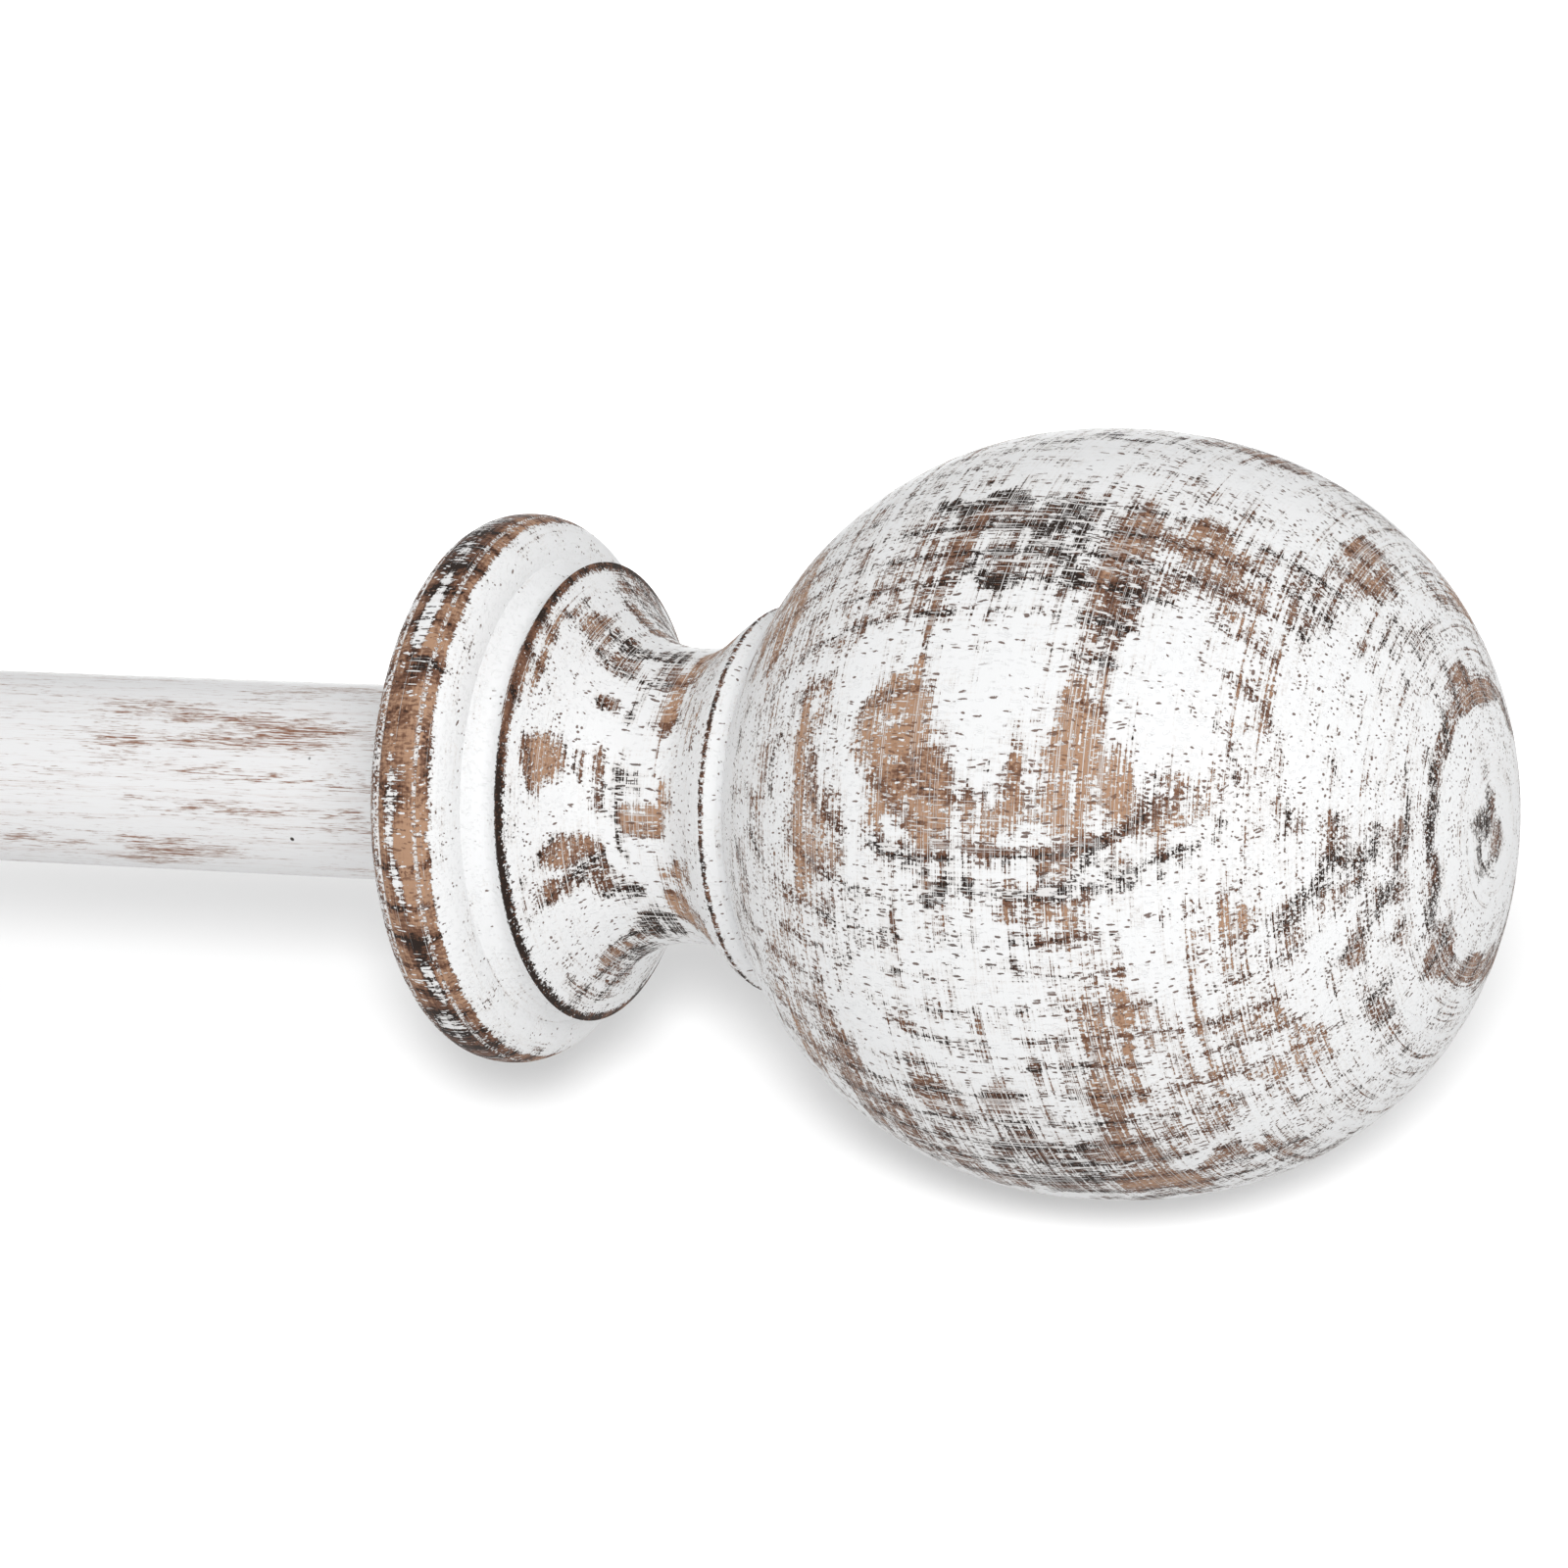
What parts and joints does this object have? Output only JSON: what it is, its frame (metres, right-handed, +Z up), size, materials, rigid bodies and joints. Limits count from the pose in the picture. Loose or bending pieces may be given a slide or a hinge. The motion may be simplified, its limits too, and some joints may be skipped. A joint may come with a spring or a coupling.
{
  "type": "curtain rod with brackets",
  "caption": "Telescopic round curtain rod with whitewashed turned ball finials, resting in open cradles on wall brackets of adjustable projection.",
  "frame": {"origin": "on the wall plane, midway between the two brackets, level with the rod's axis", "axes": "+X along the rod to its right end, +Y into the wall, +Z up; the room is on the -Y side"},
  "size_m": [0.9156, 0.1517, 0.0766],
  "materials": {
    "washed_wood": "turned hardwood, white paint rubbed through to brown on edges and grain",
    "washed_steel": "white paint with fine brown brush streaks, satin",
    "nylon": "natural moulded nylon",
    "zinc_steel": "bright zinc plate",
    "brass": "machined"
  },
  "bodies": {
    "wall_brackets": {"right_wall_plate": "washed_steel", "right_sleeve": "washed_steel", "right_upper_wall_screw": "zinc_steel", "right_lower_wall_screw": "zinc_steel", "left_wall_plate": "washed_steel", "left_sleeve": "washed_steel", "left_upper_wall_screw": "zinc_steel", "left_lower_wall_screw": "zinc_steel"},
    "right_arm": {"right_arm_bar": "washed_steel", "right_cradle": "washed_steel", "right_cradle_screw": "zinc_steel"},
    "left_arm": {"left_arm_bar": "washed_steel", "left_cradle": "washed_steel", "left_cradle_screw": "zinc_steel"},
    "rod": {"outer_tube": "washed_steel", "mouth_bush": "nylon", "right_end_plug": "nylon", "right_plug_insert": "brass"},
    "inner_rod": {"inner_tube": "washed_steel", "inner_guide": "nylon", "left_end_plug": "nylon", "left_plug_insert": "brass"},
    "right_stud_body": {"right_finial_stud": "zinc_steel"},
    "right_finial_body": {"right_finial": "washed_wood"},
    "left_stud_body": {"left_finial_stud": "zinc_steel"},
    "left_finial_body": {"left_finial": "washed_wood"},
    "right_projection_shank": {"right_projection_screw": "zinc_steel"},
    "right_projection_head": {"right_projection_knob": "washed_steel"},
    "right_clamp_shank": {"right_clamp_screw": "zinc_steel"},
    "right_clamp_head": {"right_clamp_knob": "washed_steel"},
    "left_projection_shank": {"left_projection_screw": "zinc_steel"},
    "left_projection_head": {"left_projection_knob": "washed_steel"},
    "left_clamp_shank": {"left_clamp_screw": "zinc_steel"},
    "left_clamp_head": {"left_clamp_knob": "washed_steel"}
  },
  "joints": [
    {"name": "projection", "type": "slide", "parent": "wall_brackets", "child": "right_arm", "axis": [0, -1, 0], "range_m": [0, 0.025]},
    {"name": "left_projection", "type": "slide", "parent": "wall_brackets", "child": "left_arm", "axis": [0, -1, 0], "range_m": [0, 0.025]},
    {"name": "rod_lift", "type": "slide", "parent": "right_arm", "child": "rod", "axis": [0, 0, 1], "range_m": [0, 0.03]},
    {"name": "extension", "type": "slide", "parent": "rod", "child": "inner_rod", "axis": [-1, 0, 0], "range_m": [0, 0.508]},
    {"name": "right_finial_travel", "type": "slide", "parent": "rod", "child": "right_stud_body", "axis": [1, 0, 0], "range_m": [0, 0.011]},
    {"name": "right_finial_turn", "type": "hinge", "parent": "right_stud_body", "child": "right_finial_body", "pos_m": [0.3556, -0.083, 0], "axis": [1, 0, 0], "range_deg": [0, 3960]},
    {"name": "left_finial_travel", "type": "slide", "parent": "inner_rod", "child": "left_stud_body", "axis": [-1, 0, 0], "range_m": [0, 0.011]},
    {"name": "left_finial_turn", "type": "hinge", "parent": "left_stud_body", "child": "left_finial_body", "pos_m": [-0.3556, -0.083, 0], "axis": [-1, 0, 0], "range_deg": [0, 3960]},
    {"name": "right_projection_travel", "type": "slide", "parent": "wall_brackets", "child": "right_projection_shank", "axis": [0, 0, -1], "range_m": [0, 0.0021]},
    {"name": "right_projection_turn", "type": "hinge", "parent": "right_projection_shank", "child": "right_projection_head", "pos_m": [0.225, -0.036, -0.0023], "axis": [0, 0, -1], "range_deg": [0, 1080]},
    {"name": "right_clamp_travel", "type": "slide", "parent": "right_arm", "child": "right_clamp_shank", "axis": [0, 0, -1], "range_m": [0, 0.0035]},
    {"name": "right_clamp_turn", "type": "hinge", "parent": "right_clamp_shank", "child": "right_clamp_head", "pos_m": [0.225, -0.083, -0.00983], "axis": [0, 0, -1], "range_deg": [0, 1800]},
    {"name": "left_projection_travel", "type": "slide", "parent": "wall_brackets", "child": "left_projection_shank", "axis": [0, 0, -1], "range_m": [0, 0.0021]},
    {"name": "left_projection_turn", "type": "hinge", "parent": "left_projection_shank", "child": "left_projection_head", "pos_m": [-0.225, -0.036, -0.0023], "axis": [0, 0, -1], "range_deg": [0, 1080]},
    {"name": "left_clamp_travel", "type": "slide", "parent": "left_arm", "child": "left_clamp_shank", "axis": [0, 0, -1], "range_m": [0, 0.0035]},
    {"name": "left_clamp_turn", "type": "hinge", "parent": "left_clamp_shank", "child": "left_clamp_head", "pos_m": [-0.225, -0.083, -0.00983], "axis": [0, 0, -1], "range_deg": [0, 1800]}
  ],
  "couplings": [
    {"joint": "left_projection", "follows": "projection", "ratio": 1},
    {"joint": "right_finial_turn", "follows": "right_finial_travel", "rad_per_m": 6283.2},
    {"joint": "left_finial_turn", "follows": "left_finial_travel", "rad_per_m": 6283.2},
    {"joint": "right_projection_turn", "follows": "right_projection_travel", "rad_per_m": 8976},
    {"joint": "right_clamp_turn", "follows": "right_clamp_travel", "rad_per_m": 8976},
    {"joint": "left_projection_turn", "follows": "left_projection_travel", "rad_per_m": 8976},
    {"joint": "left_clamp_turn", "follows": "left_clamp_travel", "rad_per_m": 8976}
  ]
}
